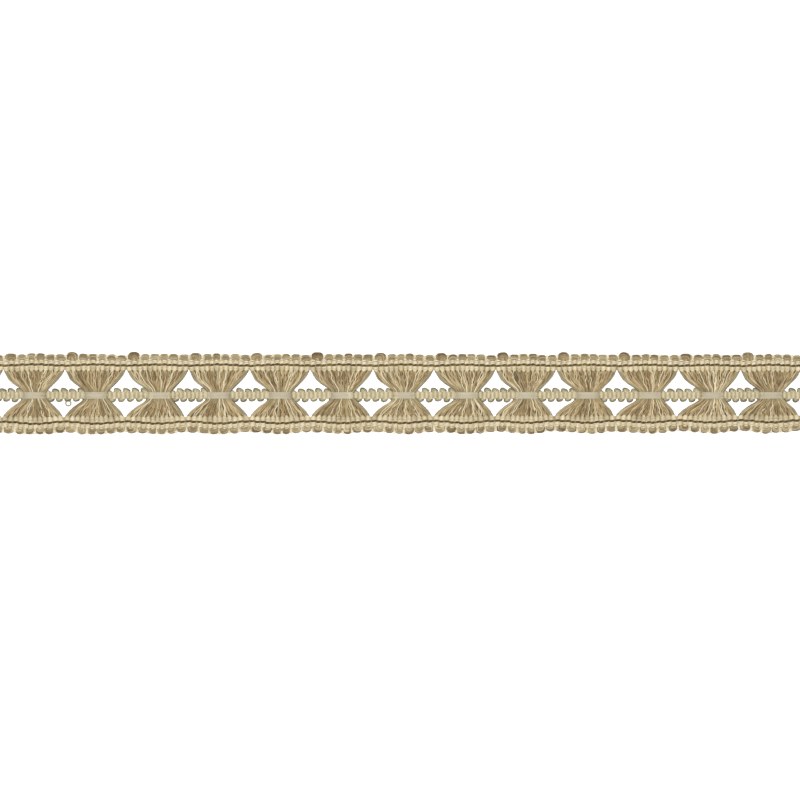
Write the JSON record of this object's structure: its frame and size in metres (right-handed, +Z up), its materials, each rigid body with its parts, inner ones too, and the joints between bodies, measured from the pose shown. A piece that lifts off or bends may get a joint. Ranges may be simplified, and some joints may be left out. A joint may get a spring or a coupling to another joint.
{
  "type": "flat length of open bow braid trim",
  "caption": "Flat length of open braid trim: looped rib headings joined by tan yarn bows that are tied at the waist by a cream gimp.",
  "frame": {"origin": "bottom centre of the whole length, on the surface that the trim lies on", "axes": "+X along the trim, +Y across it towards the upper heading, +Z up, out of the face"},
  "size_m": [0.375, 0.0338, 0.0037],
  "materials": {
    "heading_cream": "matte woven warp rib, cream rayon and cotton yarn",
    "thread_brown": "matte twisted thread, dark brown",
    "loop_tan": "matte yarn loops, tan",
    "skein_tan": "soft fine yarns, tan, with a few cream ones",
    "gimp_cream": "cream gimp with smooth satin floats over the waists"
  },
  "bodies": {
    "root": {"heading_upper": "heading_cream", "heading_lower": "heading_cream", "line_thread_upper": "thread_brown", "line_thread_lower": "thread_brown", "loop_edge_upper": "loop_tan", "loop_edge_lower": "loop_tan", "skein_01": "skein_tan", "skein_02": "skein_tan", "skein_03": "skein_tan", "skein_04": "skein_tan", "skein_05": "skein_tan", "skein_06": "skein_tan", "skein_07": "skein_tan", "skein_08": "skein_tan", "skein_09": "skein_tan", "skein_10": "skein_tan", "skein_11": "skein_tan", "skein_12": "skein_tan", "skein_13": "skein_tan", "skein_14": "skein_tan", "skein_15": "skein_tan", "centre_gimp": "gimp_cream"}
  },
  "joints": []
}
